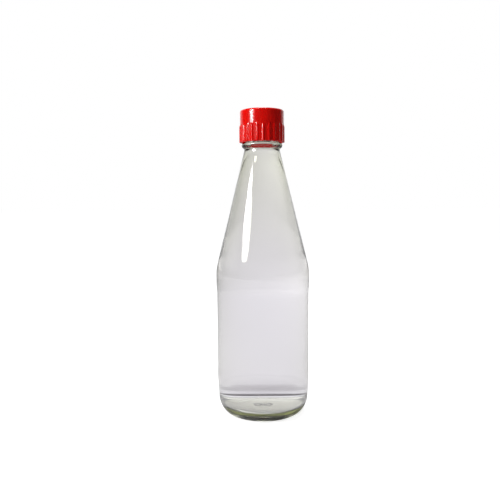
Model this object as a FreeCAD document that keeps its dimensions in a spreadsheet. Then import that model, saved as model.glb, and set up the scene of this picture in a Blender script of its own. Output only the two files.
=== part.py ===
"""Glass ketchup bottle with a ribbed screw cap, filled with a clear liquid.

Three separate solids, all built in the bottle's own frame: +Z is up along the axis of
symmetry, and the origin is at the centre of the circle that the bottle stands on.

  glass_bottle  one revolved wall: punted base, heel, label panel between two contact
                bands, rounded shoulder, long cone, neck bead and crown-type lip
  clear_liquid  what fills the glass, up to the neck
  screw_cap     red closure, ribbed over the lower part of its skirt, seated on the lip
"""

import FreeCAD
import Part

import os

import Sketcher

FULL_TURN = 360.0

# ----------------------------------------------------------- driving dimensions, in mm
DIMENSIONS = [
    # overall
    ("glass_height", 218.5, "lip of the glass above the table"),
    ("band_diameter", 69.0, "widest place, the upper contact band"),
    # foot and heel
    ("foot_inset", 10.6, "outer edge of the standing ring, in from the heel"),
    ("foot_width", 1.0, "width of the standing ring"),
    ("punt_rim", 6.1, "height of the hollow underside at its rim"),
    ("punt_side", 0.8, "width of the steep side between the ring and the rim"),
    ("punt_rise", 0.5, "rise of the underside from its rim to the axis"),
    ("heel_recess", 1.1, "body just above the heel, in from the upper band"),
    ("heel_height", 13.8, "top of the heel curve"),
    ("heel_low_radius", 8.0, "tighter lower part of the heel curve"),
    # body
    ("low_band_bottom", 27.0, "where the lower contact band begins"),
    ("low_band_top", 33.0, "where it ends"),
    ("low_band_recess", 0.25, "lower band, in from the upper one"),
    ("panel_recess", 0.45, "label panel, in from the upper band"),
    ("panel_blend", 4.5, "height of the slope at each end of the panel"),
    ("band_bottom", 96.5, "where the upper contact band begins"),
    ("band_top", 103.6, "where it ends and the shoulder curve begins"),
    ("shoulder_radius", 36.5, "curve between the body and the cone"),
    # neck, heights measured down from the lip
    ("lip_diameter", 26.6, "crown-type lip, the widest place inside the cap"),
    ("neck_inset", 0.1, "top of the cone and the neck below the bead, in from the lip"),
    ("neck_drop", 23.6, "top of the cone below the lip"),
    ("bead_drop", 18.6, "middle of the neck bead below the lip"),
    ("bead_radius", 1.75, "half-round section of the bead"),
    ("finish_inset", 0.8, "neck inside the cap, in from the lip"),
    ("lip_depth", 5.6, "height of the lip"),
    ("lip_slope", 0.8, "height of the slope under the lip, and above the bead"),
    ("lip_round", 1.8, "outer edge of the mouth"),
    # inside
    ("wall", 2.5, "glass thickness in the body"),
    ("base_thickness", 3.0, "glass above the hollow underside, on the axis"),
    ("floor_rise", 1.6, "rise of the inner floor towards the axis"),
    ("inner_heel_radius", 2.5, "curve between the inner floor and the wall"),
    ("bore_diameter", 17.4, "straight bore of the neck"),
    ("bore_length", 28.5, "bore from the lip down to where it opens into the cone"),
    ("mouth_round", 0.8, "inner edge of the mouth"),
    ("ullage", 23.3, "level of the liquid below the lip"),
    # cap
    ("cap_height", 23.4, "cap from rim to top"),
    ("cap_crown", 6.0, "solid top of the cap, above the lip"),
    ("cap_clearance", 1.7, "gap between the lip and the skirt"),
    ("cap_edge_radius", 1.5, "rounded top edge"),
    ("skirt_wall", 1.1, "skirt thickness between the ribs"),
    ("rib_count", 24, "ribs round the skirt"),
    ("rib_width", 2.4, "width of a rib at its root"),
    ("rib_rise", 0.55, "how far a rib stands out"),
    ("rib_root", 0.4, "how deep a rib is set into the skirt"),
    ("rib_length", 12.8, "length of a rib, up from the rim"),
    ("rib_slope", 1.4, "height of the slope at the top of the ribs"),
]

doc = FreeCAD.newDocument("ketchup_bottle")
dims = doc.addObject("Spreadsheet::Sheet", "Dims")
for row, (alias, number, meaning) in enumerate(DIMENSIONS, start=1):
    dims.set(f"A{row}", meaning)
    dims.set(f"B{row}", str(number))
    dims.setAlias(f"B{row}", alias)
doc.recompute()


# ------------------------------------------------------- expressions that follow the sheet
def cell(alias):
    """Expression for one driving dimension."""
    return f"Dims.{alias}"


def number_of(expression):
    """Number that an expression stands for now."""
    return float(dims.evalExpression(expression))


def touching_angle(arc_radius, centre_r, centre_z, top_r, top_z):
    """Slope of the straight line that leaves an arc and runs up to (top_r, top_z)."""
    across = f"({top_r} - ({centre_r}))"
    rise = f"({top_z} - ({centre_z}))"
    return f"(atan2({rise}; {across}) - acos(({arc_radius}) / hypot({across}; {rise})))"


BAND_R = f"({cell('band_diameter')} / 2)"
HEEL_R = f"({BAND_R} - {cell('heel_recess')})"
FOOT_R = f"({HEEL_R} - {cell('foot_inset')})"
RING_R = f"({FOOT_R} - {cell('foot_width')})"
LOW_BAND_R = f"({BAND_R} - {cell('low_band_recess')})"
PANEL_R = f"({BAND_R} - {cell('panel_recess')})"
RIM_R = f"({RING_R} - {cell('punt_side')})"
LIP_R = f"({cell('lip_diameter')} / 2)"
NECK_R = f"({LIP_R} - {cell('neck_inset')})"
FINISH_R = f"({LIP_R} - {cell('finish_inset')})"
BORE_R = f"({cell('bore_diameter')} / 2)"
LIP_Z = cell("glass_height")
NECK_Z = f"({LIP_Z} - {cell('neck_drop')})"
BEAD_Z = f"({LIP_Z} - {cell('bead_drop')})"
BORE_Z = f"({LIP_Z} - {cell('bore_length')})"
FILL_Z = f"({LIP_Z} - {cell('ullage')})"
BAND_TOP = cell("band_top")

# the heel: a lower arc that lies flat on the foot and an upper one that stands upright,
# meeting smoothly, so the upper radius follows from the lower
LOW_ARC = cell("heel_low_radius")
HEEL_DROP = f"({cell('heel_height')} - {LOW_ARC})"
HIGH_ARC = (
    f"(({cell('foot_inset')}^2 + {HEEL_DROP}^2 - {LOW_ARC}^2)"
    f" / (2 * ({cell('foot_inset')} - {LOW_ARC})))"
)
ARC_GAP = f"({HIGH_ARC} - {LOW_ARC})"
HEEL_JOIN_R = f"({FOOT_R} + {LOW_ARC} * ({HIGH_ARC} - {cell('foot_inset')}) / {ARC_GAP})"
HEEL_JOIN_Z = f"({LOW_ARC} - {LOW_ARC} * {HEEL_DROP} / {ARC_GAP})"

# the shoulder: an arc that leaves the band upright and touches the cone
SHOULDER = cell("shoulder_radius")
SHOULDER_R = f"({BAND_R} - {SHOULDER})"
CONE_ANGLE = touching_angle(SHOULDER, SHOULDER_R, BAND_TOP, NECK_R, NECK_Z)
CONE_FOOT_R = f"({SHOULDER_R} + {SHOULDER} * cos({CONE_ANGLE}))"
CONE_FOOT_Z = f"({BAND_TOP} + {SHOULDER} * sin({CONE_ANGLE}))"

# the same forms inside, one wall thickness in
INNER_R = f"({PANEL_R} - {cell('wall')})"
INNER_HEEL = cell("inner_heel_radius")
PUNT_TOP = f"({cell('punt_rim')} + {cell('punt_rise')})"
FLOOR_TOP = f"({PUNT_TOP} + {cell('base_thickness')})"
FLOOR_Z = f"({FLOOR_TOP} - {cell('floor_rise')})"
FLOOR_R = f"({INNER_R} - {INNER_HEEL})"
INNER_SHOULDER = f"({SHOULDER} - {cell('wall')})"
INNER_SHOULDER_R = f"({INNER_R} - {INNER_SHOULDER})"
INNER_ANGLE = touching_angle(INNER_SHOULDER, INNER_SHOULDER_R, BAND_TOP, BORE_R, BORE_Z)
INNER_CONE_R = f"({INNER_SHOULDER_R} + {INNER_SHOULDER} * cos({INNER_ANGLE}))"
INNER_CONE_Z = f"({BAND_TOP} + {INNER_SHOULDER} * sin({INNER_ANGLE}))"

# the cap, seated on the lip, its skirt clear of it
SKIRT_R = f"({LIP_R} + {cell('cap_clearance')})"
CAP_R = f"({SKIRT_R} + {cell('skirt_wall')})"
CAP_TOP = f"({LIP_Z} + {cell('cap_crown')})"
CAP_RIM = f"({CAP_TOP} - {cell('cap_height')})"
CAP_EDGE = cell("cap_edge_radius")
RIB_TOP = f"({CAP_RIM} + {cell('rib_length')})"
RIB_CREST = f"({CAP_R} + {cell('rib_rise')})"


def dome_radius(base, rise):
    """Radius of a shallow dome from its half width and its rise."""
    return f"(({base}^2 + {rise}^2) / (2 * {rise}))"


# ------------------------------------------------------------------------ sketch helpers
STRAIGHT = "straight"
CONVEX = "convex"
HOLLOW = "hollow"


def own_datum(body, role):
    """One of a body's own origin planes, found by its role."""
    return next(item for item in body.Origin.OriginFeatures if item.Role == role)


def bind(sketch, constraint, expression):
    """Add a constraint whose size follows an expression."""
    index = sketch.addConstraint(constraint)
    sketch.setExpression(f"Constraints[{index}]", expression)


def arc_between(first, last, radius, shape):
    """Arc from first to last whose centre is on the left (convex) or right (hollow)."""
    start, end = (first, last) if shape == CONVEX else (last, first)
    chord = end.sub(start)
    apothem = max(radius**2 - (chord.Length / 2) ** 2, 0.0) ** 0.5
    left = FreeCAD.Vector(-chord.y, chord.x, 0).normalize()
    centre = start.add(chord * 0.5).add(left * apothem)
    circle = Part.Circle(centre, FreeCAD.Vector(0, 0, 1), radius)
    return Part.ArcOfCircle(circle, circle.parameter(start), circle.parameter(end))


def outline(body, label, plane, points):
    """Closed sketch, run round with the material on the left.

    Each point is (across, up, shape, radius); shape and radius belong to the edge that
    leaves the point. Every corner and every radius follows the sheet.
    """
    sketch = body.newObject("Sketcher::SketchObject", label)
    sketch.AttachmentSupport = [(own_datum(body, plane), "")]
    sketch.MapMode = "FlatFace"
    corners = [FreeCAD.Vector(number_of(p[0]), number_of(p[1]), 0) for p in points]
    near_end = []
    for index, point in enumerate(points):
        first = corners[index]
        last = corners[(index + 1) % len(points)]
        if point[2] == STRAIGHT:
            sketch.addGeometry(Part.LineSegment(first, last), False)
        else:
            sketch.addGeometry(arc_between(first, last, number_of(point[3]), point[2]), False)
        near_end.append(2 if point[2] == HOLLOW else 1)
    for index, point in enumerate(points):
        following = (index + 1) % len(points)
        far_end = 3 - near_end[index]
        meet = Sketcher.Constraint("Coincident", index, far_end, following, near_end[following])
        sketch.addConstraint(meet)
    for index, point in enumerate(points):
        place_corner(sketch, index, near_end[index], corners[index], point)
        if point[2] != STRAIGHT:
            size = Sketcher.Constraint("Radius", index, number_of(point[3]))
            bind(sketch, size, point[3])
    return sketch


def place_corner(sketch, edge, end, corner, point):
    """Fix one corner by its two distances from the sketch's origin, or on an axis."""
    across, up = point[0], point[1]
    if across == "0":
        sketch.addConstraint(Sketcher.Constraint("PointOnObject", edge, end, -2))
    else:
        size = Sketcher.Constraint("DistanceX", -1, 1, edge, end, corner.x)
        bind(sketch, size, across)
    if up == "0":
        sketch.addConstraint(Sketcher.Constraint("PointOnObject", edge, end, -1))
    else:
        size = Sketcher.Constraint("DistanceY", -1, 1, edge, end, corner.y)
        bind(sketch, size, up)


def line(across, up):
    """Corner that a straight edge leaves."""
    return (across, up, STRAIGHT, None)


def arc(across, up, shape, radius):
    """Corner that an arc leaves."""
    return (across, up, shape, radius)


def new_body(label):
    """Empty body at the origin, named after its sub-part."""
    body = doc.addObject("PartDesign::Body", label)
    body.Label = label
    body.Placement = FreeCAD.Placement()
    return body


def turn(body, kind, label, sketch):
    """Full turn of a sketch about the body's axis, as a Revolution or a Groove."""
    feature = body.newObject(kind, label)
    feature.Profile = sketch
    feature.ReferenceAxis = (sketch, ["V_Axis"])
    feature.Angle = FULL_TURN
    body.Tip = feature
    return feature


def inside_of_glass():
    """Corners of the cavity from the axis out and up to the foot of the bore."""
    return [
        arc("0", FLOOR_TOP, HOLLOW, dome_radius(FLOOR_R, cell("floor_rise"))),
        arc(FLOOR_R, FLOOR_Z, CONVEX, INNER_HEEL),
        line(INNER_R, f"({FLOOR_Z} + {INNER_HEEL})"),
        arc(INNER_R, BAND_TOP, CONVEX, INNER_SHOULDER),
        line(INNER_CONE_R, INNER_CONE_Z),
        line(BORE_R, BORE_Z),
    ]


# ------------------------------------------------------------------------ glass bottle
bottle = new_body("glass_bottle")
LIP_FOOT = f"({LIP_Z} - {cell('lip_depth')})"
BEAD = cell("bead_radius")
BEAD_TOP = f"({BEAD_Z} + {BEAD})"
glass_outline = outline(bottle, "glass_outline", "XZ_Plane", [
    arc("0", PUNT_TOP, HOLLOW, dome_radius(RIM_R, cell("punt_rise"))),
    line(RIM_R, cell("punt_rim")),
    line(RING_R, "0"),
    arc(FOOT_R, "0", CONVEX, LOW_ARC),
    arc(HEEL_JOIN_R, HEEL_JOIN_Z, CONVEX, HIGH_ARC),
    line(HEEL_R, cell("heel_height")),
    line(LOW_BAND_R, cell("low_band_bottom")),
    line(LOW_BAND_R, cell("low_band_top")),
    line(PANEL_R, f"({cell('low_band_top')} + {cell('panel_blend')})"),
    line(PANEL_R, f"({cell('band_bottom')} - {cell('panel_blend')})"),
    line(BAND_R, cell("band_bottom")),
    arc(BAND_R, BAND_TOP, CONVEX, SHOULDER),
    line(CONE_FOOT_R, CONE_FOOT_Z),
    line(NECK_R, NECK_Z),
    arc(NECK_R, f"({BEAD_Z} - {BEAD})", CONVEX, BEAD),
    arc(f"({NECK_R} + {BEAD})", BEAD_Z, CONVEX, BEAD),
    line(NECK_R, BEAD_TOP),
    line(FINISH_R, f"({BEAD_TOP} + {cell('lip_slope')})"),
    line(FINISH_R, f"({LIP_FOOT} - {cell('lip_slope')})"),
    line(LIP_R, LIP_FOOT),
    arc(LIP_R, f"({LIP_Z} - {cell('lip_round')})", CONVEX, cell("lip_round")),
    line(f"({LIP_R} - {cell('lip_round')})", LIP_Z),
    line("0", LIP_Z),
])
glass_solid = turn(bottle, "PartDesign::Revolution", "glass_solid", glass_outline)
MOUTH = cell("mouth_round")
cavity_outline = outline(bottle, "cavity_outline", "XZ_Plane", inside_of_glass() + [
    arc(BORE_R, f"({LIP_Z} - {MOUTH})", HOLLOW, MOUTH),
    line(f"({BORE_R} + {MOUTH})", LIP_Z),
    line("0", LIP_Z),
])
cavity = turn(bottle, "PartDesign::Groove", "cavity", cavity_outline)

# ------------------------------------------------------------------------ clear liquid
liquid = new_body("clear_liquid")
liquid_outline = outline(liquid, "liquid_outline", "XZ_Plane", inside_of_glass() + [
    line(BORE_R, FILL_Z),
    line("0", FILL_Z),
])
liquid_solid = turn(liquid, "PartDesign::Revolution", "liquid_solid", liquid_outline)

# --------------------------------------------------------------------------- screw cap
cap = new_body("screw_cap")
cap_outline = outline(cap, "cap_outline", "XZ_Plane", [
    line("0", LIP_Z),
    line(SKIRT_R, LIP_Z),
    line(SKIRT_R, CAP_RIM),
    line(CAP_R, CAP_RIM),
    arc(CAP_R, f"({CAP_TOP} - {CAP_EDGE})", CONVEX, CAP_EDGE),
    line(f"({CAP_R} - {CAP_EDGE})", CAP_TOP),
    line("0", CAP_TOP),
])
cap_shell = turn(cap, "PartDesign::Revolution", "cap_shell", cap_outline)

# one rib: a shallow rounded bar set into the skirt, then repeated round the axis
HALF_RIB = f"({cell('rib_width')} / 2)"
RIB_ARC = dome_radius(HALF_RIB, cell("rib_rise"))
RIB_INNER = f"({CAP_R} - {cell('rib_root')})"
RIB_EDGE = f"(sqrt({CAP_R}^2 - {HALF_RIB}^2))"
rib_outline = outline(cap, "rib_outline", "XY_Plane", [
    line(RIB_INNER, f"(-{HALF_RIB})"),
    arc(RIB_EDGE, f"(-{HALF_RIB})", CONVEX, RIB_ARC),
    line(RIB_EDGE, HALF_RIB),
    line(RIB_INNER, HALF_RIB),
])
rib_outline.setExpression("AttachmentOffset.Base.z", CAP_RIM)
rib = cap.newObject("PartDesign::Pad", "rib")
rib.Profile = rib_outline
rib.setExpression("Length", cell("rib_length"))
cap.Tip = rib
ribs = cap.newObject("PartDesign::PolarPattern", "ribs")
ribs.Originals = [rib]
ribs.Axis = (own_datum(cap, "Z_Axis"), [""])
ribs.Angle = FULL_TURN
ribs.setExpression("Occurrences", cell("rib_count"))
cap.Tip = ribs
doc.recompute()
ribbed_volume = cap.Shape.Volume

# the upper ends of the ribs run out in a slope
OUTSIDE_R = f"({RIB_CREST} + {cell('rib_rise')})"
slope_outline = outline(cap, "slope_outline", "XZ_Plane", [
    line(CAP_R, RIB_TOP),
    line(OUTSIDE_R, f"({RIB_TOP} - 2 * {cell('rib_slope')})"),
    line(OUTSIDE_R, RIB_TOP),
])
slope = turn(cap, "PartDesign::Groove", "slope", slope_outline)
doc.recompute()

# ------------------------------------------------------------------- checks, then export
for item in doc.Objects:
    if "Invalid" in item.State or "Error" in item.State:
        raise RuntimeError(f"{item.Label} failed to build: {item.State}")
for body in (bottle, liquid, cap):
    if body.Shape.isNull() or not body.Shape.isValid() or len(body.Shape.Solids) != 1:
        raise RuntimeError(f"{body.Label} is not one sound solid")
if bottle.Shape.Volume > glass_solid.Shape.Volume - liquid.Shape.Volume:
    raise RuntimeError("the bottle's cavity was not cut")
if cap.Shape.Volume >= ribbed_volume:
    raise RuntimeError("the slope above the ribs was not cut")

os.makedirs("parts", exist_ok=True)
for body in (bottle, liquid, cap):
    body.Shape.exportStep(f"parts/{body.Label}.step")
    print(f"{body.Label}: {body.Shape.Volume / 1000:.1f} cm3, {len(body.Shape.Faces)} faces")
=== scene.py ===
"""Glass ketchup bottle, filled with a clear liquid and closed with a ribbed red screw cap.

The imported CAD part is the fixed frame. Each of its three solids is stood for by a finer
mesh: a revolved section with soft corners, worked out as whole numpy arrays. The sizes are
those of the CAD part, apart from the bead round the neck, which is lower and taller, and
the turn of the cap's ribs. Everything is in the bottle's own frame, +Z up along its axis of
symmetry; sections are drawn in millimetres and the meshes are in metres.
"""

import logging
import math
from dataclasses import dataclass, field
from enum import Enum

import bpy
import numpy as np
from mathutils import Matrix, Vector


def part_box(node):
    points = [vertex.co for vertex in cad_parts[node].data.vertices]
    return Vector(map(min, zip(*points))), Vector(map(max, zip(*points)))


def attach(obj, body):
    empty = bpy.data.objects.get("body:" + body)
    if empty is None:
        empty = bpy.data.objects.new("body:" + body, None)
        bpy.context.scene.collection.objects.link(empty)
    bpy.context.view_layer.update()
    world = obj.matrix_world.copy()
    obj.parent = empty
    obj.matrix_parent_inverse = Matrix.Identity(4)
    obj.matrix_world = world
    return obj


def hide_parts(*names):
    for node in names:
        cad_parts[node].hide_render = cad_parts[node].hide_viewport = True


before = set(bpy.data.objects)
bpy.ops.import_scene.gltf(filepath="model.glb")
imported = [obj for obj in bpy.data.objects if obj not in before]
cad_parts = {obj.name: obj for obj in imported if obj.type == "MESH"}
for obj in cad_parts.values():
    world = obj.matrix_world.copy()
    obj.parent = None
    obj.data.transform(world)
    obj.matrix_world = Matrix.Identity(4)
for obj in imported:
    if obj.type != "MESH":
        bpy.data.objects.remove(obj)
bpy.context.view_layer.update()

Socket = bpy.types.NodeSocket
Node = bpy.types.Node
Pair = tuple[float, float]
Triple = tuple[float, float, float]

LOG = logging.getLogger("ketchup_bottle")
BODY = "root"
MM = 0.001
FULL_TURN = 2.0 * math.pi
QUARTER_TURN = 0.5 * math.pi

SAMPLE = 0.1  # step between the points of a drawn section, in mm
BELL_REACH = 4.0  # how many of its own widths a softening bell reaches
WIDTH_BELL = 1.5  # width in mm of the bell that evens out the softness itself
BEND_WINDOW = 17  # points over which the bend of a section is averaged
LAMP_MIDDLE = (0.5, 0.5, 0.0)  # middle of a lamp, where its sides are 0 and 1
LAMP_FADE = ((0.25, 0.5), (1.0, 0.02))  # where a lamp starts and stops to fade, and its two levels


class Softness(Enum):
    """How far a corner of a section is rounded off, as a width in mm along the section."""

    CRISP = 0.22
    FIRM = 0.6
    BODY = 1.5
    FLOWING = 3.5


class Ease(Enum):
    """How a level goes from one value to another."""

    STRAIGHT = "LINEAR"
    SMOOTH = "SMOOTHSTEP"


# ------------------------------------------------------------------ sections and surfaces
@dataclass
class Pen:
    """Draws half of a turned section, in mm, as evenly spaced points along runs and arcs.

    Attributes:
        here: place that the pen has reached, as (radius, height).
        places: points drawn so far, one array for each run or arc.
        widths: softness of each point, one array for each run or arc.
    """

    here: Pair
    places: list[np.ndarray] = field(default_factory=list)
    widths: list[np.ndarray] = field(default_factory=list)

    def _keep(self, points: np.ndarray, softness: Softness) -> "Pen":
        """Adds points and moves the pen to the last of them.

        Args:
            points: the points, as rows of radius and height.
            softness: how soft the run is.

        Returns:
            The pen.
        """
        self.places.append(points[:-1])
        self.widths.append(np.full(len(points) - 1, softness.value))
        self.here = (float(points[-1, 0]), float(points[-1, 1]))
        return self

    def line(self, radius: float, height: float, softness: Softness = Softness.CRISP) -> "Pen":
        """Straight run: points at equal shares of the way from here to the given place.

        Args:
            radius: radius of its end.
            height: height of its end.
            softness: how far it melts into its neighbours.

        Returns:
            The pen, at the end of the run.
        """
        first, last = np.array(self.here), np.array((radius, height))
        count = int(np.linalg.norm(last - first) / SAMPLE) + 2
        share = np.linspace(0.0, 1.0, count)[:, None]
        return self._keep(first + (last - first) * share, softness)

    def arc(
        self, centre: Pair, radius: float, end_angle: float, softness: Softness = Softness.CRISP
    ) -> "Pen":
        """Arc: centre plus radius times (cosine, sine) from the pen's own angle to the end angle.

        Args:
            centre: centre of the arc, as (radius, height).
            radius: radius of the arc.
            end_angle: angle at which it ends, in radians from the outward direction.
            softness: how far it melts into its neighbours.

        Returns:
            The pen, at the end of the arc.
        """
        start = math.atan2(self.here[1] - centre[1], self.here[0] - centre[0])
        count = max(3, int(abs(end_angle - start) * radius / SAMPLE) + 2)
        angle = np.linspace(start, end_angle, count)
        points = np.stack([np.cos(angle), np.sin(angle)], axis=1) * radius + np.array(centre)
        return self._keep(points, softness)

    def dome(self, radius: float, height: float, softness: Softness = Softness.CRISP) -> "Pen":
        """Shallow curve: height changes with the square of the distance from the axis.

        Args:
            radius: radius of its end; one of its two ends lies on the axis.
            height: height of its end.
            softness: how far it melts into its neighbours.

        Returns:
            The pen, at the end of the curve.
        """
        first, last = np.array(self.here), np.array((radius, height))
        count = max(3, int(np.linalg.norm(last - first) / SAMPLE) + 2)
        across = np.linspace(first[0], last[0], count)
        crown, rim = (first, last) if first[0] < last[0] else (last, first)
        up = crown[1] + (rim[1] - crown[1]) * (across / rim[0]) ** 2
        return self._keep(np.stack([across, up], axis=1), softness)

    def section(self) -> "Section":
        """Everything drawn so far, closed with the pen's own place.

        Returns:
            The section.
        """
        places = np.concatenate([*self.places, np.array([self.here])])
        widths = np.concatenate([*self.widths, self.widths[-1][-1:]])
        return Section(places, widths)


@dataclass
class Section:
    """Half of a turned section, from the axis and back to it or to its last point.

    Attributes:
        places: points as (radius, height) in mm.
        widths: softness of each point in mm.
    """

    places: np.ndarray
    widths: np.ndarray

    def lengths(self) -> np.ndarray:
        """Distance of each point along the section."""
        steps = np.linalg.norm(np.diff(self.places, axis=0), axis=1)
        return np.concatenate([[0.0], np.cumsum(steps)])

    def at(self, lengths: np.ndarray) -> "Section":
        """The section read at other distances along it.

        Args:
            lengths: those distances in mm.

        Returns:
            The section with a point at each of them.
        """
        own = self.lengths()
        columns = [np.interp(lengths, own, self.places[:, k]) for k in (0, 1)]
        return Section(np.stack(columns, axis=1), np.interp(lengths, own, self.widths))

    def softened(self, open_start: bool = False) -> "Section":
        """Each point becomes a bell-weighted mean of its neighbours along the section.

        The bell is as wide as the point's own softness. Past an end on the axis the section
        goes on as its own mirror image, so that the pole stays round and on the axis.

        Args:
            open_start: the section starts away from the axis, and its first point stays.

        Returns:
            The softened section, evenly spaced.
        """
        total = self.lengths()[-1]
        even = self.at(np.linspace(0.0, total, int(total / SAMPLE) + 1))
        pad = int(BELL_REACH * max(item.value for item in Softness) / SAMPLE)
        flip = np.array([-1.0, 1.0])
        before = even.places[pad:0:-1] * flip
        if open_start:
            before = 2.0 * even.places[0] - even.places[pad:0:-1]
        after = even.places[-2 : -pad - 2 : -1] * flip
        wide = np.concatenate([before, even.places, after])
        slow = np.pad(even.widths, pad, mode="edge")
        offsets = np.arange(-pad, pad + 1)
        near = np.arange(len(even.places))[:, None] + pad + offsets
        bell = np.exp(-0.5 * (offsets * SAMPLE / WIDTH_BELL) ** 2)
        width = (slow[near] * bell).sum(axis=1) / bell.sum()
        weight = np.exp(-0.5 * (offsets[None, :] * SAMPLE / width[:, None]) ** 2)
        weight /= weight.sum(axis=1, keepdims=True)
        mean = np.einsum("ij,ijk->ik", weight, wide[near])
        return Section(mean, even.widths)

    def spaced(self, longest: float, turn: float) -> "Section":
        """The section with its points close together where it curves and far apart where it doesn't.

        Args:
            longest: longest step in mm.
            turn: change of direction between two points in radians, where it curves.

        Returns:
            The section with fewer points, the first and the last kept.
        """
        own = self.lengths()
        heading = np.unwrap(np.arctan2(*np.gradient(self.places, axis=0).T[::-1]))
        bend = np.abs(np.gradient(heading, own))
        window = np.full(BEND_WINDOW, 1.0 / BEND_WINDOW)
        soft = np.convolve(np.pad(bend, BEND_WINDOW // 2, mode="edge"), window, mode="valid")
        density = 1.0 / longest + soft / turn
        count = np.concatenate([[0.0], np.cumsum(0.5 * (density[1:] + density[:-1]) * np.diff(own))])
        steps = int(math.ceil(count[-1]))
        return self.at(np.interp(np.linspace(0.0, count[-1], steps + 1), count, own))


def touching_angle(radius: float, centre: Pair, goal: Pair) -> float:
    """Angle at which a straight line to the goal leaves a circle without a corner.

    It is the direction from the centre to the goal, less the angle whose cosine is the
    radius over the distance between them.

    Args:
        radius: radius of the circle.
        centre: its centre.
        goal: where the line ends.

    Returns:
        The angle in radians, from the outward direction.
    """
    across, up = goal[0] - centre[0], goal[1] - centre[1]
    return math.atan2(up, across) - math.acos(radius / math.hypot(across, up))


def turned(name: str, height: np.ndarray, radius: np.ndarray, angle: np.ndarray) -> bpy.types.Object:
    """Closed surface: across and deep are the radius times the cosine and sine of the angle.

    Ring i and column j meet their neighbours in a quad, the last column joins the first, and
    the first and last rings, which lie on the axis, become one point with a fan round it.

    Args:
        name: name of the piece.
        height: heights in mm, a column with one for each ring.
        radius: radii in mm, rings by columns.
        angle: angles in radians, a row with one for each column.

    Returns:
        The piece, smooth shaded, with its place in its mesh.
    """
    rings, turns = radius.shape
    around = np.broadcast_arrays(radius * np.cos(angle), radius * np.sin(angle), height)
    grid = np.stack(around, axis=2)
    poles = grid[[0, -1]].mean(axis=1)
    points = np.concatenate([grid[1:-1].reshape(-1, 3), poles]) * MM
    inner = rings - 2
    row = np.arange(inner - 1)[:, None] * turns
    column = np.arange(turns)[None, :]
    beside = (column + 1) % turns
    above = row + turns
    quads = np.stack([row + column, row + beside, above + beside, above + column], axis=2)
    first, last = inner * turns, inner * turns + 1
    here, ahead = column.ravel(), beside.ravel()
    final = (inner - 1) * turns
    fans = np.concatenate(
        [
            np.stack([np.full(turns, first), ahead, here], axis=1),
            np.stack([np.full(turns, last), final + here, final + ahead], axis=1),
        ]
    )
    corners = np.concatenate([quads.ravel(), fans.ravel()]).astype(np.int32)
    sizes = np.repeat([4, 3], [quads.size // 4, len(fans)]).astype(np.int32)
    starts = np.concatenate([[0], np.cumsum(sizes)[:-1]]).astype(np.int32)
    mesh = bpy.data.meshes.new(name)
    mesh.vertices.add(len(points))
    mesh.vertices.foreach_set("co", points.astype(np.float32).ravel())
    mesh.loops.add(len(corners))
    mesh.loops.foreach_set("vertex_index", corners)
    mesh.polygons.add(len(sizes))
    mesh.polygons.foreach_set("loop_start", starts)
    mesh.polygons.foreach_set("use_smooth", np.ones(len(sizes), dtype=bool))
    mesh.update(calc_edges=True)
    mesh.validate()
    return linked(name, mesh)


def linked(name: str, data: bpy.types.ID) -> bpy.types.Object:
    """New object at the origin.

    Args:
        name: name of the object.
        data: the mesh, lamp or camera that it shows.

    Returns:
        The object, in the scene.
    """
    piece = bpy.data.objects.new(name, data)
    bpy.context.scene.collection.objects.link(piece)
    return piece


def angles(turns: int) -> np.ndarray:
    """Equal shares of a full turn as one row, without the last, which is the first again."""
    return np.linspace(0.0, FULL_TURN, turns, endpoint=False)[None, :]


def eased(value: np.ndarray, low: float, high: float) -> np.ndarray:
    """Smooth step from 0 below low to 1 above high: three squares less two cubes of the share."""
    share = np.clip((value - low) / (high - low), 0.0, 1.0)
    return share * share * (3.0 - 2.0 * share)


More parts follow.
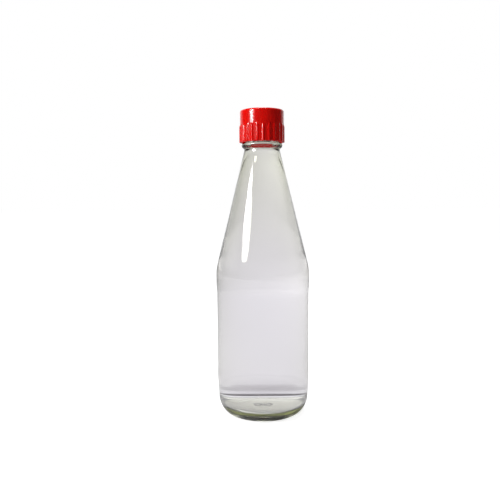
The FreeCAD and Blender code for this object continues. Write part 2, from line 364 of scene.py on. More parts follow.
# -------------------------------------------------------------------------------- finishes
@dataclass(frozen=True)
class Wiring:
    """Adds nodes to a tree and links them.

    Attributes:
        tree: nodes of a material, a lamp or the world.
    """

    tree: bpy.types.NodeTree

    def add(self, kind: str, **values: object) -> Node:
        """New node with its properties set, or its sockets where a name isn't a property.

        Args:
            kind: what the node is, without the words Shader Node.
            values: each name with its value; an underscore stands for a space.

        Returns:
            The node.
        """
        made = self.tree.nodes.new("ShaderNode" + kind)
        for key, value in values.items():
            if hasattr(made, key):
                setattr(made, key, value)
            else:
                made.inputs[key.replace("_", " ")].default_value = value
        return made

    def feed(self, value: float | Socket, goal: Socket) -> None:
        """Gives a socket a plain number, or a link from another socket.

        Args:
            value: the number, or the socket that works it out.
            goal: socket that takes it; a plain number goes to each part of a vector.
        """
        if isinstance(value, Socket):
            self.tree.links.new(value, goal)
        else:
            goal.default_value = (value, value, value) if goal.type == "VECTOR" else value

    def combine(self, rule: str, *values: float | Socket) -> Socket:
        """Result of a math rule.

        Args:
            rule: name of the rule, such as MULTIPLY.
            values: numbers or sockets that it works on, in order.

        Returns:
            The socket that carries the result.
        """
        made = self.add("Math", operation=rule)
        for value, goal in zip(values, made.inputs):
            self.feed(value, goal)
        return made.outputs[0]

    def vector(self, rule: str, first: Socket, second: Triple) -> Node:
        """Vector math node that works on a socket and a fixed vector.

        Args:
            rule: name of the rule, such as DISTANCE.
            first: the socket.
            second: the fixed vector.

        Returns:
            The node.
        """
        made = self.add("VectorMath", operation=rule)
        made.inputs[1].default_value = second
        self.feed(first, made.inputs[0])
        return made

    def from_axis(self, place: Socket) -> Socket:
        """Distance of a place from the bottle's axis: its length once its height is dropped."""
        flat = self.vector("MULTIPLY", place, (1.0, 1.0, 0.0)).outputs[0]
        return self.vector("DISTANCE", flat, (0.0, 0.0, 0.0)).outputs["Value"]

    def ramp(self, value: Socket, ends: Pair, levels: Pair, ease: Ease = Ease.SMOOTH) -> Socket:
        """Level that changes while a value crosses a range, and stays the same outside it.

        Args:
            value: socket with the value.
            ends: where the level starts and stops to change.
            levels: level before the first end and past the second.
            ease: how it changes between them.

        Returns:
            The socket that carries the level.
        """
        made = self.add("MapRange", interpolation_type=ease.value)
        for key, number in zip(("From Min", "From Max", "To Min", "To Max"), (*ends, *levels)):
            made.inputs[key].default_value = number
        self.feed(value, made.inputs["Value"])
        return made.outputs["Result"]

    def coordinates(self, kind: str = "Object") -> tuple[Socket, bpy.types.NodeOutputs]:
        """Coordinates, whole and as their three parts.

        Args:
            kind: which coordinates, as the node names them.

        Returns:
            The socket with the place, and the sockets X, Y and Z.
        """
        place = self.add("TexCoord").outputs[kind]
        split = self.add("SeparateXYZ")
        self.feed(place, split.inputs[0])
        return place, split.outputs


def new_material(name: str) -> tuple[bpy.types.Material, Wiring, bpy.types.NodeInputs]:
    """New material with a principled shader.

    Args:
        name: name of the material.

    Returns:
        The material, its wiring and the sockets of its shader.
    """
    material = bpy.data.materials.new(name)
    material.use_nodes = True
    wiring = Wiring(material.node_tree)
    return material, wiring, wiring.tree.nodes["Principled BSDF"].inputs


@dataclass(frozen=True)
class Mark:
    """Plain mark on the base's underside, as bump and frost: a ring with strokes in it.

    Attributes:
        radius: radius of the ring in metres.
        line: half width of its lines in metres.
        strokes: how far each stroke is to the right of the axis, in metres.
        reach: half length of the strokes in metres.
        below: height in metres that it stays below.
        rise: depth of its bump in metres.
        frost: roughness of its lines.
    """

    radius: float
    line: float
    strokes: tuple[float, ...]
    reach: float
    below: float
    rise: float
    frost: float

    def close_to(self, wiring: Wiring, value: Socket, goal: float, start: float) -> Socket:
        """Level that falls from 1 to 0 where a value moves away from a goal.

        Args:
            wiring: wiring of the material.
            value: socket with the value.
            goal: what it is compared with.
            start: distance at which the level starts to fall; it is 0 one line further.

        Returns:
            The socket that carries the level.
        """
        off = wiring.combine("ABSOLUTE", wiring.combine("SUBTRACT", value, goal))
        return wiring.ramp(off, (start, start + self.line), (1.0, 0.0))

    def dress(self, wiring: Wiring, shader: bpy.types.NodeInputs) -> None:
        """Raises and frosts the highest of the ring and the strokes, below its height.

        Args:
            wiring: wiring of the material.
            shader: sockets of its shader.
        """
        place, parts = wiring.coordinates()
        total = self.close_to(wiring, wiring.from_axis(place), self.radius, 0.0)
        length = self.close_to(wiring, parts["Y"], 0.0, self.reach)
        for stroke in self.strokes:
            width = self.close_to(wiring, parts["X"], stroke, 0.0)
            total = wiring.combine("MAXIMUM", total, wiring.combine("MULTIPLY", width, length))
        level = wiring.combine("MULTIPLY", total, wiring.combine("LESS_THAN", parts["Z"], self.below))
        bump = wiring.add("Bump", Strength=1.0, Distance=self.rise)
        wiring.feed(level, bump.inputs["Height"])
        wiring.feed(bump.outputs["Normal"], shader["Normal"])
        wiring.feed(wiring.combine("MULTIPLY", level, self.frost), shader["Roughness"])


@dataclass(frozen=True)
class ClearFinish:
    """Clear substance that bends light and takes a little of it along the way.

    Attributes:
        name: name of the material.
        bending: refractive index.
        tint: colour that the absorption leaves.
        absorption: density of the absorption, per metre.
        mark: mark raised on its underside, if any.
    """

    name: str
    bending: float
    tint: Triple
    absorption: float
    mark: Mark | None = None

    def material(self) -> bpy.types.Material:
        """Principled glass with volume absorption and, if there is one, its mark.

        Returns:
            The material.
        """
        material, wiring, shader = new_material(self.name)
        shader["Base Color"].default_value = (1.0, 1.0, 1.0, 1.0)
        shader["Roughness"].default_value = 0.0
        shader["IOR"].default_value = self.bending
        shader["Transmission Weight"].default_value = 1.0
        body = wiring.add("VolumeAbsorption", Color=(*self.tint, 1.0), Density=self.absorption)
        wiring.feed(body.outputs["Volume"], wiring.tree.nodes["Material Output"].inputs["Volume"])
        if self.mark is not None:
            self.mark.dress(wiring, shader)
        return material


@dataclass(frozen=True)
class PlasticFinish:
    """Moulded glossy plastic with slight flow marks and a satin grain, and a painted red glow on its
    inside that stands in for light coming through its walls.

    Attributes:
        name: name of the material.
        colour: main colour.
        deep: colour in the darker flow marks.
        roughness: mean roughness.
        spread: how far the roughness varies to either side.
        glow_through: share of the light that goes into its walls.
        painted_inner_glow: strength of the painted light on its inside, which stands in for light that
            comes through its walls.
        inside: radius and height in metres below which the painted light is put on the inside.
        bending: refractive index.
        flow_scale: flow marks per metre.
        grain_scale: grains per metre.
        layers: layers of ever finer noise, in the flow marks and in the grain.
        grain_depth: depth of the grain in metres.
        grain_strength: share of that depth that shows.
        glow_depth: how far light goes into the walls, in metres.
        glow_colours: share of that depth for red, green and blue.
    """

    name: str
    colour: Triple
    deep: Triple
    roughness: float
    spread: float
    glow_through: float
    painted_inner_glow: float
    inside: Pair
    bending: float = 1.5
    flow_scale: float = 90.0
    grain_scale: float = 900.0
    layers: Pair = (3.0, 4.0)
    grain_depth: float = 0.0002
    grain_strength: float = 0.10
    glow_depth: float = 0.002
    glow_colours: Triple = (1.0, 0.05, 0.03)

    def material(self) -> bpy.types.Material:
        """Principled plastic; slow noise mixes its colours and fine noise varies its gloss.

        Returns:
            The material.
        """
        material, wiring, shader = new_material(self.name)
        place, parts = wiring.coordinates()
        flow = wiring.add("TexNoise", Scale=self.flow_scale, Detail=self.layers[0])
        grain = wiring.add("TexNoise", Scale=self.grain_scale, Detail=self.layers[1])
        for noise in (flow, grain):
            wiring.feed(place, noise.inputs["Vector"])
        blend = wiring.add("Mix", data_type="RGBA")
        colours = [item for item in blend.inputs if item.type == "RGBA"]
        for socket, colour in zip(colours, (self.colour, self.deep)):
            socket.default_value = (*colour, 1.0)
        result = next(item for item in blend.outputs if item.type == "RGBA")
        wiring.feed(flow.outputs["Fac"], blend.inputs["Factor"])
        wiring.feed(result, shader["Base Color"])
        gloss = (self.roughness - self.spread, self.roughness + self.spread)
        level = wiring.ramp(grain.outputs["Fac"], (0.0, 1.0), gloss, Ease.STRAIGHT)
        wiring.feed(level, shader["Roughness"])
        bump = wiring.add("Bump", Strength=self.grain_strength, Distance=self.grain_depth)
        wiring.feed(grain.outputs["Fac"], bump.inputs["Height"])
        wiring.feed(bump.outputs["Normal"], shader["Normal"])
        # painted light: the inside of the skirt and its underside glow red, in place of light that
        # comes through the plastic
        near = wiring.combine("LESS_THAN", wiring.from_axis(place), self.inside[0])
        below = wiring.combine("LESS_THAN", parts["Z"], self.inside[1])
        glow = wiring.combine("MULTIPLY", wiring.combine("MULTIPLY", near, below), self.painted_inner_glow)
        wiring.feed(glow, shader["Emission Strength"])
        shader["Emission Color"].default_value = (*self.colour, 1.0)
        shader["IOR"].default_value = self.bending
        shader["Subsurface Weight"].default_value = self.glow_through
        shader["Subsurface Radius"].default_value = self.glow_colours
        shader["Subsurface Scale"].default_value = self.glow_depth
        return material


@dataclass(frozen=True)
class RayLevels:
    """Brightness of a background for each kind of ray that can meet it.

    A level is a number, or the socket of a node that works it out.

    Attributes:
        other: lighting the object.
        camera: seen straight from the camera.
        glossy: seen in a reflection.
        through: seen through glass or liquid.
    """

    other: float | Socket
    camera: float | Socket
    glossy: float | Socket
    through: float | Socket

    def mixed(self, wiring: Wiring) -> Socket:
        """Starts from the first level and lets each kind of ray put its own in place of it.

        Args:
            wiring: wiring of the background.

        Returns:
            The socket that carries the level.
        """
        path = wiring.add("LightPath")
        value = self.other
        for name, level in (
            ("Is Glossy Ray", self.glossy),
            ("Is Transmission Ray", self.through),
            ("Is Camera Ray", self.camera),
        ):
            choice = wiring.add("Mix", data_type="VECTOR")
            ends = [item for item in choice.inputs if item.type == "VECTOR"][-2:]
            wiring.feed(path.outputs[name], choice.inputs["Factor"])
            wiring.feed(value, ends[0])
            wiring.feed(level, ends[1])
            value = next(item for item in choice.outputs if item.type == "VECTOR")
        return value


@dataclass(frozen=True)
class PaintedFloorShadeAndLight:
    """Painted shadow and painted light on the floor, which only glass shows, by distance from beside
    the foot.

    Attributes:
        centre: that place, across and deep, in metres.
        stops: pairs of distance in metres and level, outwards: painted contact shadow under the foot,
            painted light in a ring round it, painted cast shadow in a ring further out.
        far: where the floor starts and stops to be painted brighter, in metres, and how much it is.
        right: how far to the right the floor has been painted dimmer, as painted shade, in metres, and
            its share of the level.
        left: how far to the left the floor has been painted brighter, as painted light, in metres, and
            its share of the level.
        tint: colour that the painted shadow takes on where it is deepest.
        colour: colour of the floor where no shadow is painted.
    """

    centre: Pair
    stops: tuple[Pair, ...]
    far: Triple
    right: Pair
    left: Pair
    tint: Triple
    colour: Triple

    def level(self, wiring: Wiring) -> Socket:
        """Painted shadow and light: a smooth ramp over the distance, times the far, right and left
        ramps.

        The deeper the painted shadow, the more its colour goes over to the tint.

        Args:
            wiring: wiring of the floor's material.

        Returns:
            The socket that carries the coloured level.
        """
        reach = self.stops[-1][0]
        place, parts = wiring.coordinates()
        away = wiring.vector("DISTANCE", place, (*self.centre, 0.0)).outputs["Value"]
        shade = wiring.add("ValToRGB")
        shade.color_ramp.interpolation = "EASE"
        points = shade.color_ramp.elements
        while len(points) < len(self.stops):
            points.new(1.0)
        for point, (distance, level) in zip(points, self.stops):
            point.position = distance / reach
            depth = max(0.0, 1.0 - level)
            mixed = (plain + depth * (deep - plain) for plain, deep in zip(self.colour, self.tint))
            point.color = (*(level * part for part in mixed), 1.0)
        wiring.feed(wiring.combine("DIVIDE", away, reach), shade.inputs["Fac"])
        total = shade.outputs["Color"]
        for source, ends, goal in (
            (away, self.far[:2], self.far[2]),
            (parts["X"], (0.0, self.right[0]), self.right[1]),
            (parts["X"], (0.0, -self.left[0]), self.left[1]),
        ):
            both = wiring.add("VectorMath", operation="SCALE")
            wiring.feed(total, both.inputs[0])
            wiring.feed(wiring.ramp(source, ends, (1.0, goal), Ease.STRAIGHT), both.inputs["Scale"])
            total = both.outputs[0]
        return total


@dataclass(frozen=True)
class BackgroundFinish:
    """Pale floor that keeps the object's shadow and is seen white; through glass it shows painted
    shadow and painted light instead.

    Attributes:
        name: name of the material.
        shade: share of the light that it scatters.
        glow: what is added where the camera sees it.
        gloss: what is added where gloss shows it.
        through: painted shadow and painted light that glass shows of it, in place of its lit surface.
        roughness: its roughness.
    """

    name: str
    shade: float
    glow: float
    gloss: float
    through: PaintedFloorShadeAndLight
    roughness: float = 0.9

    def material(self) -> bpy.types.Material:
        """Scattering surface plus its glow, and where it is seen through glass a glow that carries
        painted shadow and painted light.

        Returns:
            The material.
        """
        material, wiring, shader = new_material(self.name)
        shader["Base Color"].default_value = (self.shade, self.shade, self.shade, 1.0)
        shader["Roughness"].default_value = self.roughness
        shader["Specular IOR Level"].default_value = 0.0
        glow, painted_through_glow = wiring.add("Emission"), wiring.add("Emission")
        both, choice = wiring.add("AddShader"), wiring.add("MixShader")
        wiring.feed(RayLevels(0.0, self.glow, self.gloss, 0.0).mixed(wiring), glow.inputs["Strength"])
        # painted shadow and light: what glass shows of the floor, in place of its lit surface
        wiring.feed(self.through.level(wiring), painted_through_glow.inputs["Color"])
        wiring.feed(wiring.tree.nodes["Principled BSDF"].outputs[0], both.inputs[0])
        wiring.feed(glow.outputs[0], both.inputs[1])
        wiring.feed(wiring.add("LightPath").outputs["Is Transmission Ray"], choice.inputs[0])
        wiring.feed(both.outputs[0], choice.inputs[1])
        wiring.feed(painted_through_glow.outputs[0], choice.inputs[2])
        wiring.feed(choice.outputs[0], wiring.tree.nodes["Material Output"].inputs["Surface"])
        return material


GLASS = ClearFinish(
    name="bottle_glass_clear",
    bending=1.52,
    tint=(0.50, 0.53, 0.20),
    absorption=50.0,
    mark=Mark(
        radius=0.0045,
        line=0.0012,
        strokes=(-0.0013, 0.0013),
        reach=0.0015,
        below=0.0085,
        rise=0.0004,
        frost=0.9,
    ),
)
LIQUID = ClearFinish(name="liquid_clear", bending=1.333, tint=(0.95, 0.90, 1.0), absorption=4.0)
PALE_FLOOR = BackgroundFinish(
    name="pale_floor",
    shade=0.8,
    glow=0.88,
    gloss=0.05,
    # painted shadow and light on the floor that only glass shows: a dark patch under the foot, a bright
    # ring round it, a dark ring further out
    through=PaintedFloorShadeAndLight(
        centre=(0.004, 0.006),
        stops=(
            (0.020, 0.12), (0.028, 1.10), (0.046, 1.10), (0.055, 0.30), (0.062, 0.10),
            (0.073, 0.15), (0.081, 0.60), (0.088, 0.80), (0.098, 0.85), (0.120, 0.855),
        ),
        far=(0.12, 2.2, 1.2),
        right=(1.0, 0.75),
        left=(0.35, 1.15),
        tint=(0.97, 0.90, 1.04),
        colour=(1.017, 1.004, 1.115),
    ),
)
RED_PLASTIC = PlasticFinish(
    name="cap_red_plastic",
    colour=(0.74, 0.004, 0.001),
    deep=(0.64, 0.003, 0.001),
    roughness=0.16,
    spread=0.03,
    glow_through=0.6,
    # painted light on the cap's inner wall, which the bead under it shows as a red band
    painted_inner_glow=0.30,
    inside=(0.0152, 0.2190),
)


# ------------------------------------------------------------------------------- the pieces
@dataclass
class GlassBottle:
    """The glass: punted base, heel, label panel between two bands, shoulder, cone and neck.

    Sizes are in mm. A drop and the bore's length are measured down from the top of the lip; a
    recess is how far a form stands in from the widest band, an inset from its neighbour.
    """

    height: float = 218.5
    band_radius: float = 34.5
    heel_recess: float = 1.1
    foot_inset: float = 10.6
    foot_width: float = 1.0
    punt_rim: float = 6.1
    punt_side: float = 0.8
    punt_rise: float = 0.5
    heel_height: float = 13.8
    heel_low_radius: float = 8.0
    low_band: Pair = (27.0, 33.0)
    low_band_recess: float = 0.25
    panel_recess: float = 0.45
    panel_blend: float = 4.5
    band: Pair = (96.5, 103.6)
    shoulder_radius: float = 36.5
    neck_radius: float = 13.2
    neck_drop: float = 23.6
    bead_drop: float = 19.5
    bead_radius: float = 2.4
    bead_inset: float = 0.65
    finish_radius: float = 12.5
    lip_radius: float = 13.3
    lip_depth: float = 5.6
    lip_slope: float = 0.8
    lip_round: float = 1.8
    wall: float = 2.5
    base_thickness: float = 3.0
    floor_rise: float = 1.6
    inner_heel_radius: float = 2.5
    bore_radius: float = 8.7
    bore_length: float = 28.5
    mouth_round: float = 0.8
    unevenness: float = 0.10
    # of each wave: share, waves in a turn, mm of height for a radian, start in radians
    waves: tuple[tuple[float, float, float, float], ...] = (
        (1.0, 1.0, math.inf, 0.9),
        (0.6, 2.0, 31.0, 2.0),
        (0.35, 3.0, -23.0, 0.0),
        (0.3, 0.0, 13.0, 1.0),
    )
    # heights at which the waves start, are full, start to go and are gone
    waves_end: tuple[float, float, float, float] = (14.0, 40.0, 165.0, 195.0)
    wave_onset: float = 0.01  # share of the section over which they start past the mouth
    step: float = 3.2  # longest step along the section
    bend: float = 0.07  # change of direction between two of its points, in radians
    turns: int = 224  # points in a ring

    def outside(self) -> Pen:
        """Outer form from the middle of the punt, round the heel and up to the lip.

        The heel is two arcs that touch each other: a low one that starts level at the foot,
        and a high one that ends upright.

        Returns:
            The pen, at the top of the lip.
        """
        heel = self.band_radius - self.heel_recess
        foot = heel - self.foot_inset
        low = self.heel_low_radius
        drop = self.heel_height - low
        high = (self.foot_inset**2 + drop**2 - low**2) / (2.0 * (self.foot_inset - low))
        join = -math.atan2(drop, high - self.foot_inset)
        panel = self.band_radius - self.panel_recess
        lower = self.band_radius - self.low_band_recess
        shoulder = (self.band_radius - self.shoulder_radius, self.band[1])
        neck_z = self.height - self.neck_drop
        bead_z = self.height - self.bead_drop
        lip_z = self.height - self.lip_depth
        slope = touching_angle(self.shoulder_radius, shoulder, (self.neck_radius, neck_z))
        ring = foot - self.foot_width
        bead_foot = math.sqrt(self.bead_radius**2 - self.bead_inset**2)
        round_z = self.height - self.lip_round
        pen = Pen((0.0, self.punt_rim + self.punt_rise))
        pen.dome(ring - self.punt_side, self.punt_rim, Softness.FIRM).line(ring, 0.0, Softness.FIRM)
        pen.line(foot, 0.0)
        pen.arc((foot, low), low, join)
        pen.arc((heel - high, self.heel_height), high, 0.0, Softness.FIRM)
        for radius, height in (
            (lower, self.low_band[0]),
            (lower, self.low_band[1]),
            (panel, self.low_band[1] + self.panel_blend),
            (panel, self.band[0] - self.panel_blend),
            (self.band_radius, self.band[0]),
            (self.band_radius, self.band[1]),
        ):
            pen.line(radius, height, Softness.BODY)
        pen.arc(shoulder, self.shoulder_radius, slope, Softness.BODY)
        pen.line(self.neck_radius, neck_z, Softness.BODY)
        pen.line(self.neck_radius, bead_z - bead_foot)
        pen.arc((self.neck_radius - self.bead_inset, bead_z), self.bead_radius, QUARTER_TURN)
        pen.line(self.finish_radius, bead_z + self.bead_radius + self.lip_slope)
        pen.line(self.finish_radius, lip_z - self.lip_slope).line(self.lip_radius, lip_z)
        pen.line(self.lip_radius, round_z)
        return pen.arc((self.lip_radius - self.lip_round, round_z), self.lip_round, QUARTER_TURN)

    def inside(self, pen: Pen, reach: float = 0.0) -> Pen:
        """Inner form from the foot of the bore down to the middle of the floor.

        Args:
            pen: pen that stands on the bore, above its foot.
            reach: how far the form is moved into the glass.

        Returns:
            The pen, on the axis.
        """
        radius = self.band_radius - self.panel_recess - self.wall + reach
        shoulder = self.shoulder_radius - self.wall + reach
        centre = (radius - shoulder, self.band[1])
        bore = (self.bore_radius + reach, self.height - self.bore_length)
        slope = touching_angle(shoulder, centre, bore)
        middle = self.punt_rim + self.punt_rise + self.base_thickness
        heel = self.inner_heel_radius
        corner = (radius - heel, middle - self.floor_rise - reach + heel)
        foot = (centre[0] + shoulder * math.cos(slope), centre[1] + shoulder * math.sin(slope))
        pen.line(*bore, Softness.FLOWING).line(*foot, Softness.FLOWING)
        pen.arc(centre, shoulder, 0.0, Softness.FLOWING)
        pen.line(radius, corner[1], Softness.FIRM)
        pen.arc(corner, heel, -QUARTER_TURN, Softness.FIRM)
        return pen.dome(0.0, middle - reach, Softness.FIRM)

    def uneven(self, height: np.ndarray, angle: np.ndarray) -> np.ndarray:
        """How far the inner wall stands in or out at a height and angle.

        The sum of a few slow waves, none at the mouth or the floor: each is its share times
        the sine of its waves in a turn times the angle, plus its part for height, plus its start.

        Args:
            height: heights in mm.
            angle: angles in radians.

        Returns:
            The distances in mm.
        """
        total = sum(
            share * np.sin(count * angle + height / length + start)
            for share, count, length, start in self.waves
        )
        low, full, going, gone = self.waves_end
        return self.unevenness * total * (eased(height, low, full) * (1.0 - eased(height, going, gone)))

    def build(self) -> bpy.types.Object:
        """Turns the section, with the waves on the part of it that comes after the mouth.

        Returns:
            The piece.
        """
        pen = self.outside()
        pen.line(self.bore_radius + self.mouth_round, self.height)
        pen.line(self.bore_radius, self.height - self.mouth_round)
        split = len(np.concatenate(pen.places))
        section = self.inside(pen).section()
        share = section.lengths()[split] / section.lengths()[-1]
        soft = section.softened()
        soft.places[:, 1] = np.maximum(soft.places[:, 1], 0.0)
        profile = soft.spaced(self.step, self.bend)
        past = profile.lengths() / profile.lengths()[-1]
        inner = eased(past, share, share + self.wave_onset)[:, None]
        angle = angles(self.turns)
        height = profile.places[:, 1:2]
        radius = profile.places[:, 0:1] + inner * self.uneven(height, angle)
        return turned("bottle_glass", height, radius, angle)


@dataclass
class ClearLiquid:
    """What fills the glass, up to the neck, reaching just into the wall. Sizes in mm."""

    glass: GlassBottle
    ullage: float = 23.3  # drop from the top of the lip to its level
    reach: float = 0.05
    meniscus_rise: float = 0.9
    meniscus_width: float = 1.3
    rings: int = 90  # of its level
    turns: int = 200

    def build(self) -> bpy.types.Object:
        """Turns the inner form of the glass, closed by a level that climbs at the wall.

        The level is the fill height plus the rise times e to the power of minus the distance
        from the wall over the width.

        Returns:
            The piece.
        """
        level = self.glass.height - self.ullage
        edge = self.glass.bore_radius + self.reach
        across = np.linspace(0.0, edge, self.rings)
        climb = self.meniscus_rise * np.exp(-(edge - across) / self.meniscus_width)
        top = np.stack([across, level + climb], axis=1)[:-1]
        wall = self.glass.inside(Pen((edge, level + self.meniscus_rise)), self.reach).section()
        profile = wall.softened(open_start=True).spaced(self.glass.step, self.glass.bend)
        places = np.concatenate([top, profile.places])
        angle = angles(self.turns)
        on_wall = (np.arange(len(places)) >= len(top))[:, None]
        height = places[:, 1:2]
        radius = places[:, 0:1] + on_wall * self.glass.uneven(height, angle)
        return turned("clear_liquid_fill", height[::-1], radius[::-1], angle)


@dataclass
class ScrewCap:
    """Screw cap: a smooth crown above a ribbed skirt, seated on the lip. Sizes in mm."""

    lip_height: float = 218.5
    seat_gap: float = 0.03
    height: float = 23.4
    crown: float = 6.0  # height above the lip
    radius: float = 16.1
    edge_radius: float = 1.5
    skirt_wall: float = 1.1
    ribs: int = 24
    rib_width: float = 2.4
    rib_rise: float = 0.55
    rib_length: float = 12.8
    rib_slope: float = 1.4
    rib_turn: float = 3.5  # in degrees
    rib_root: Pair = (0.5, 0.1)  # how far inside its radius the ribs start and are full
    step: float = 1.0
    bend: float = 0.10
    turns: int = 480

    def build(self) -> bpy.types.Object:
        """Turns the cap's section and lifts its ribs.

        A rib is half a cosine wave across its width, full up to its slope and then eased
        away, and only on the outside of the skirt.

        Returns:
            The piece.
        """
        top = self.lip_height + self.crown
        rim = top - self.height
        inner = self.radius - self.skirt_wall
        edge = self.radius - self.edge_radius
        seat = self.lip_height + self.seat_gap
        pen = Pen((0.0, top)).line(edge, top)
        pen.arc((edge, top - self.edge_radius), self.edge_radius, 0.0)
        pen.line(self.radius, rim).line(inner, rim).line(inner, seat).line(0.0, seat)
        places = pen.section().softened().spaced(self.step, self.bend).places[::-1]
        angle = angles(self.turns)
        pitch = FULL_TURN / self.ribs
        shifted = angle - math.radians(self.rib_turn)
        off_crest = np.abs((shifted + 0.5 * pitch) % pitch - 0.5 * pitch) * self.radius
        across = np.cos(np.clip(off_crest / self.rib_width, 0.0, 0.5) * math.pi)
        run_out = rim + self.rib_length
        height = places[:, 1:2]
        along = 1.0 - eased(height, run_out - self.rib_slope, run_out)
        start, full = (self.radius - inset for inset in self.rib_root)
        outside = eased(places[:, 0:1], start, full)
        radius = places[:, 0:1] + self.rib_rise * across * along * outside
        return turned("cap_shell", height, radius, angle)


# ------------------------------------------------------------------------------- the studio
@dataclass(frozen=True)
class Lamp:
    """Soft elliptical lamp that faces the bottle's axis, or looks down if it hangs on the axis.

    Attributes:
        name: name of the lamp.
        azimuth: direction from the bottle in degrees, 0 towards the camera, positive to its right.
        distance: distance from the axis in metres.
        height: height of its middle in metres.
        size: its two diameters in metres, the level one first.
        power: power in watts, before the fade.
    """

    name: str
    azimuth: float
    distance: float
    height: float
    size: Pair
    power: float

    def build(self) -> bpy.types.Object:
        """Hangs the lamp at its place; it fades from half way out to its edge.

        Returns:
            The lamp.
        """
        lamp = bpy.data.lights.new(self.name, "AREA")
        lamp.shape = "ELLIPSE"
        lamp.size, lamp.size_y = self.size
        lamp.energy = self.power
        lamp.use_nodes = True
        wiring = Wiring(lamp.node_tree)
        across_lamp = wiring.add("NewGeometry").outputs["Parametric"]
        off = wiring.vector("DISTANCE", across_lamp, LAMP_MIDDLE).outputs["Value"]
        wiring.feed(wiring.ramp(off, *LAMP_FADE), wiring.tree.nodes["Emission"].inputs["Strength"])
        turn = math.radians(self.azimuth)
        across, deep = self.distance * math.sin(turn), -self.distance * math.cos(turn)
        facing = Vector((-across, -deep, 0.0)) if self.distance > 0.0 else Vector((0.0, 0.0, -1.0))
        piece = linked(self.name, lamp)
        piece.location = (across, deep, self.height)
        piece.rotation_euler = facing.to_track_quat("-Z", "Y").to_euler()
        return piece


@dataclass(frozen=True)
class Surround:
    """Shares of the full surrounding brightness in the directions round the bottle.

    Attributes:
        front: share towards the camera.
        dark_to: how far back, from -1 at the camera's side to 1, the front share reaches.
        bright_from: how far back the full share begins.
        left: share at the left.
        right: share at the right.
        top: share straight above.
        low: share along the horizon.
        sides: how far right the left share reaches and the right share begins, from -1 to 1.
        upper: how far up the share starts to change and the top share begins.
        horizon: how far up the low share reaches and the full share begins.
    """

    front: float
    dark_to: float
    bright_from: float
    left: float
    right: float
    top: float = 1.0
    low: float = 1.0
    sides: Pair = (-0.5, 1.0)
    upper: Pair = (0.5, 0.9)
    horizon: Pair = (0.04, 0.2)

    def level(self, wiring: Wiring, axes: bpy.types.NodeOutputs, full: float) -> Socket:
        """Front-to-back, left-to-right and upward ramps and the full brightness, all multiplied.

        Args:
            wiring: wiring of the world.
            axes: sockets X, Y and Z of the direction.
            full: the full brightness.

        Returns:
            The socket that carries the brightness.
        """
        total, *others = (
            wiring.ramp(axes[axis], ends, levels)
            for axis, ends, levels in (
                ("Y", (self.dark_to, self.bright_from), (self.front, 1.0)),
                ("X", self.sides, (self.left * full, self.right * full)),
                ("Z", self.upper, (1.0, self.top)),
                ("Z", self.horizon, (self.low, 1.0)),
            )
        )
        for share in others:
            total = wiring.combine("MULTIPLY", total, share)
        return total


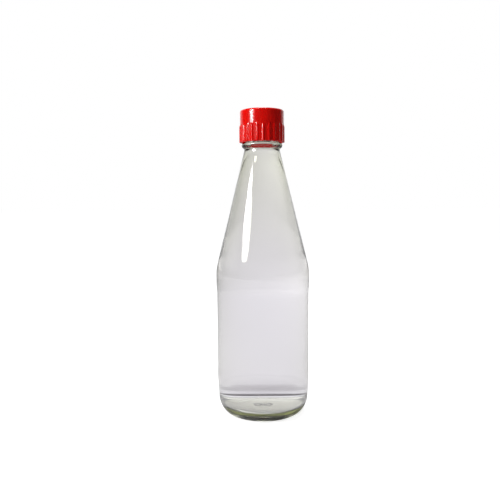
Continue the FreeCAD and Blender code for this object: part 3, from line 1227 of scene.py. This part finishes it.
@dataclass
class Studio:
    """Camera, lamps, surrounding light and the pale floor.

    Lengths are in metres and angles in degrees; the lens and its sensor are in mm.
    """

    eye_distance: float = 0.4527
    eye_height: float = 0.1571
    tilt: float = 4.418
    pan: float = 1.184
    roll: float = -0.38
    lens: float = 43.9
    sensor: float = 36.0
    ambient: float = 0.22  # full brightness of the light
    rear: float = 1.1  # full brightness of what glass and gloss show
    seen_through: Surround = Surround(
        front=0.35, dark_to=-0.35, bright_from=0.15, left=1.15, right=0.75, top=0.03, low=0.15
    )
    seen_in_gloss: Surround = Surround(front=0.05, dark_to=0.35, bright_from=0.85, left=1.0, right=0.95)
    lighting: Surround = Surround(front=0.7, dark_to=-0.5, bright_from=0.5, left=1.4, right=0.15)
    behind: Triple = (0.88, 0.87, 0.92)  # colour of what glass shows
    floor_half: float = 12.0
    lamps: tuple[Lamp, ...] = (
        Lamp("key_lamp", azimuth=-54.0, distance=0.35, height=0.304, size=(0.158, 0.132), power=2.0),
        Lamp("top_lamp", azimuth=0.0, distance=0.0, height=1.0, size=(0.5, 0.5), power=9.4),
    )

    def camera(self) -> None:
        """Camera looking along +Y, turned, tilted and rolled by a few degrees."""
        data = bpy.data.cameras.new("view")
        data.sensor_width = self.sensor
        data.lens = self.lens
        piece = linked("view", data)
        piece.matrix_world = (
            Matrix.Translation((0.0, -self.eye_distance, self.eye_height))
            @ Matrix.Rotation(math.radians(self.pan), 4, "Z")
            @ Matrix.Rotation(math.radians(90.0 - self.tilt), 4, "X")
            @ Matrix.Rotation(math.radians(self.roll), 4, "Z")
        )
        bpy.context.scene.camera = piece

    def surroundings(self) -> None:
        """World light: dim in front, bright behind; white where the camera sees it."""
        world = bpy.data.worlds.new("studio")
        bpy.context.scene.world = world
        world.use_nodes = True
        wiring = Wiring(world.node_tree)
        _, axes = wiring.coordinates("Generated")
        through = self.seen_through.level(wiring, axes, self.rear)
        levels = RayLevels(
            other=self.lighting.level(wiring, axes, self.ambient),
            camera=1.0,
            glossy=self.seen_in_gloss.level(wiring, axes, self.rear),
            through=wiring.vector("MULTIPLY", through, self.behind).outputs[0],
        )
        wiring.feed(levels.mixed(wiring), wiring.tree.nodes["Background"].inputs["Color"])

    def floor(self) -> None:
        """Wide flat square at height 0, not a part of the object."""
        mesh = bpy.data.meshes.new("floor")
        corners = np.array([(-1.0, -1.0, 0.0), (1.0, -1.0, 0.0), (1.0, 1.0, 0.0), (-1.0, 1.0, 0.0)])
        mesh.from_pydata((self.floor_half * corners).tolist(), [], [(0, 1, 2, 3)])
        mesh.materials.append(PALE_FLOOR.material())
        linked("floor", mesh)

    def build(self) -> None:
        """Sets up everything round the bottle."""
        self.camera()
        self.surroundings()
        self.floor()
        for lamp in self.lamps:
            lamp.build()
        bpy.context.scene.view_settings.view_transform = "Standard"


# ------------------------------------------------------------------------------- assembling
def place_piece(piece: bpy.types.Object, stands_for: str, material: bpy.types.Material) -> None:
    """Dresses a piece, ties it to the frame and reports it.

    Args:
        piece: the finished mesh.
        stands_for: CAD node that it replaces.
        material: its finish.
    """
    piece.data.materials.append(material)
    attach(piece, BODY)
    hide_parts(stands_for)
    low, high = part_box(stands_for)
    faces = len(piece.data.polygons)
    LOG.info("%s: %d faces, for %s, height %.4f m", piece.name, faces, stands_for, high.z - low.z)


def main() -> None:
    """Builds the studio, the glass, what fills it and its cap."""
    logging.basicConfig(level=logging.INFO, format="%(name)s: %(message)s")
    Studio().build()
    glass = GlassBottle()
    place_piece(glass.build(), "glass_bottle", GLASS.material())
    place_piece(ClearLiquid(glass).build(), "clear_liquid", LIQUID.material())
    place_piece(ScrewCap().build(), "screw_cap", RED_PLASTIC.material())


if __name__ == "__main__":
    main()
